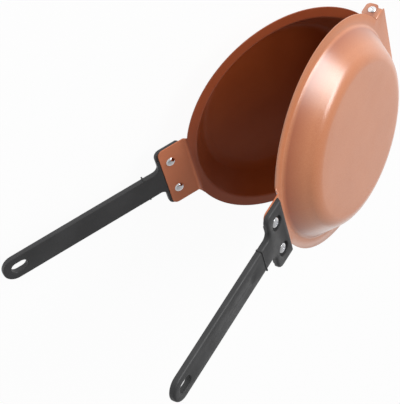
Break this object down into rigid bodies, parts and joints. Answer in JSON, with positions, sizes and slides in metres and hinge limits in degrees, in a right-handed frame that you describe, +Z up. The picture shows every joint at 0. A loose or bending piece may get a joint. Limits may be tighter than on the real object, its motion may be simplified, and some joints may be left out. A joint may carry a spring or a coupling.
{
  "type": "double sided flip pan",
  "caption": "Double sided flip pan: shallow round pans hinged at one edge, each with a long flat handle, that close face to face so that food can be turned over inside.",
  "frame": {"origin": "middle of the lower pan's flat base, on the surface that it stands on", "axes": "+X towards the handles, +Y along the hinge line, +Z up"},
  "size_m": [0.3636, 0.19, 0.2022],
  "materials": {
    "coated_sheet": "satin",
    "handle_plastic": "satin",
    "bright_metal": "polished"
  },
  "bodies": {
    "lower": {"lower_pan": "coated_sheet", "lower_handle": "handle_plastic", "lower_dome_nut_left": "bright_metal", "lower_dome_nut_right": "bright_metal", "lower_screw_left": "bright_metal", "lower_screw_right": "bright_metal", "hinge_rivet_left": "bright_metal", "hinge_rivet_right": "bright_metal"},
    "upper": {"upper_pan": "coated_sheet", "upper_handle": "handle_plastic", "upper_dome_nut_left": "bright_metal", "upper_dome_nut_right": "bright_metal", "upper_screw_left": "bright_metal", "upper_screw_right": "bright_metal"}
  },
  "joints": [
    {"name": "hinge", "type": "hinge", "parent": "lower", "child": "upper", "pos_m": [-0.0914, 0, 0.018], "axis": [0, -1, 0], "range_deg": [-28.8, 129.4]}
  ]
}
